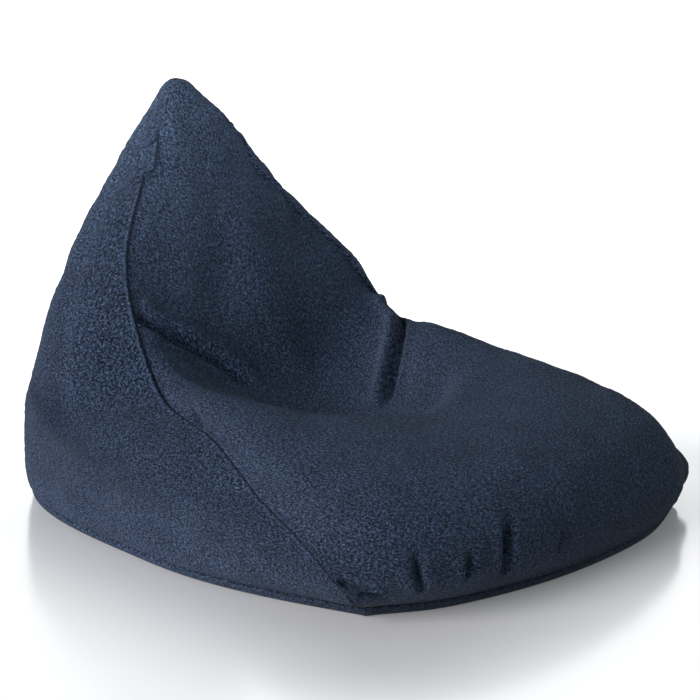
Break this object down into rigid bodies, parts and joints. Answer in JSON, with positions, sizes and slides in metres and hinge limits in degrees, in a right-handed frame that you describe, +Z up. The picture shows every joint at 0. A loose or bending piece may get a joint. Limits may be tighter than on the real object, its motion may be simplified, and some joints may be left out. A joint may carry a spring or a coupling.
{
  "type": "bean bag chair",
  "caption": "Peaked bean bag lounge chair: boucle cover of four panels with a zip in the back seam, over a bead-filled liner bag; low hollowed seat and a backrest that rises to a point.",
  "frame": {"origin": "on the floor, under the middle of the chair's box", "axes": "+Z up; -Y is the way a sitter faces, so +Y is the back and -X is the sitter's right"},
  "size_m": [1.14, 1.263, 0.822],
  "materials": {
    "cover_fabric": "matt navy boucle with a short curled pile",
    "zip_tape": "matt woven navy tape",
    "zip_coil": "satin nylon coil",
    "zip_metal": "satin dark plated zinc",
    "liner_cloth": "plain off-white woven liner cloth",
    "beads": "matt white expanded polystyrene"
  },
  "bodies": {
    "bag": {"seat_panel": "cover_fabric", "side_panel_right": "cover_fabric", "side_panel_left": "cover_fabric", "base_panel": "cover_fabric", "zip_tape_right": "zip_tape", "zip_tape_left": "zip_tape", "zip_coil_right": "zip_coil", "zip_coil_left": "zip_coil", "zip_lower_stop_right": "zip_metal", "zip_lower_stop_left": "zip_metal", "zip_upper_stop": "zip_metal", "liner_seat_panel": "liner_cloth", "liner_side_right": "liner_cloth", "liner_side_left": "liner_cloth", "liner_base_panel": "liner_cloth", "bead_fill": "beads"},
    "slider": {"zip_slider": "zip_metal"},
    "pull": {"zip_pull": "zip_metal"}
  },
  "joints": [
    {"name": "slider_travel", "type": "slide", "parent": "bag", "child": "slider", "axis": [0, 0, 1], "range_m": [0, 0.288]},
    {"name": "pull_hinge", "type": "hinge", "parent": "slider", "child": "pull", "pos_m": [0, 0.62937, 0.22041], "axis": [1, 0, 0], "range_deg": [0, 170]}
  ]
}
